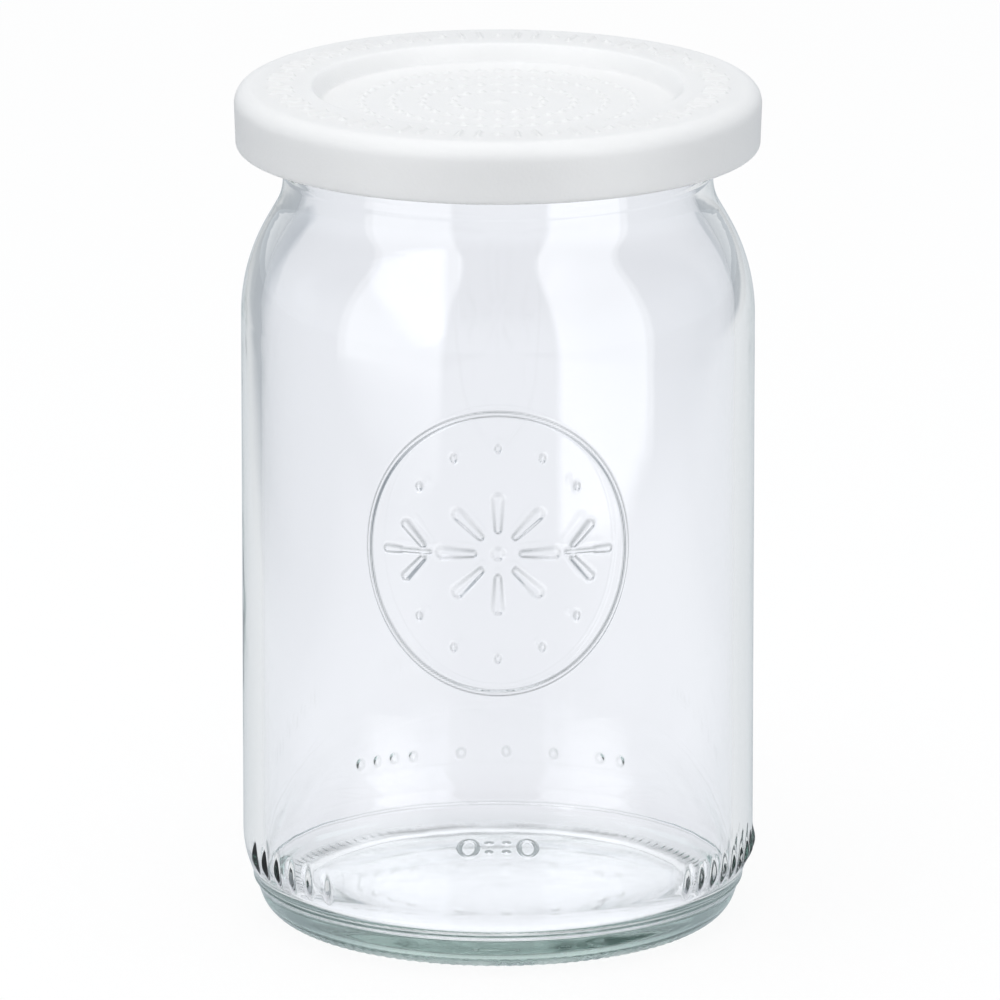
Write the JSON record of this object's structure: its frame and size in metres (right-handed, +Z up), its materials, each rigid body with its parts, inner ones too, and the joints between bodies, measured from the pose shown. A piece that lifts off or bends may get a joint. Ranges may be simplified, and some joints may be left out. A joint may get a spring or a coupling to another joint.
{
  "type": "canning jar",
  "caption": "Small straight-sided clear glass canning jar with a drawn-in neck, rounded heel and flat white push-on plastic lid that lifts off.",
  "frame": {"origin": "centre of the jar's base, on the plane that it stands on", "axes": "+Z up the jar's axis, through the mouth and the lid; X and Y lie in the table's plane, with -Y towards the side that carries the raised emblem"},
  "size_m": [0.0716, 0.0716, 0.1161],
  "materials": {
    "clear_glass": "smooth pressed soda-lime glass with a faint green tint in its thick parts",
    "white_plastic": "semi-matt moulded polyethylene"
  },
  "bodies": {
    "jar": {"glass_jar": "clear_glass"},
    "lid": {"snap_lid": "white_plastic"}
  },
  "joints": [
    {"name": "lid_lift", "type": "slide", "parent": "jar", "child": "lid", "axis": [0, 0, 1], "range_m": [0, 0.08]}
  ]
}
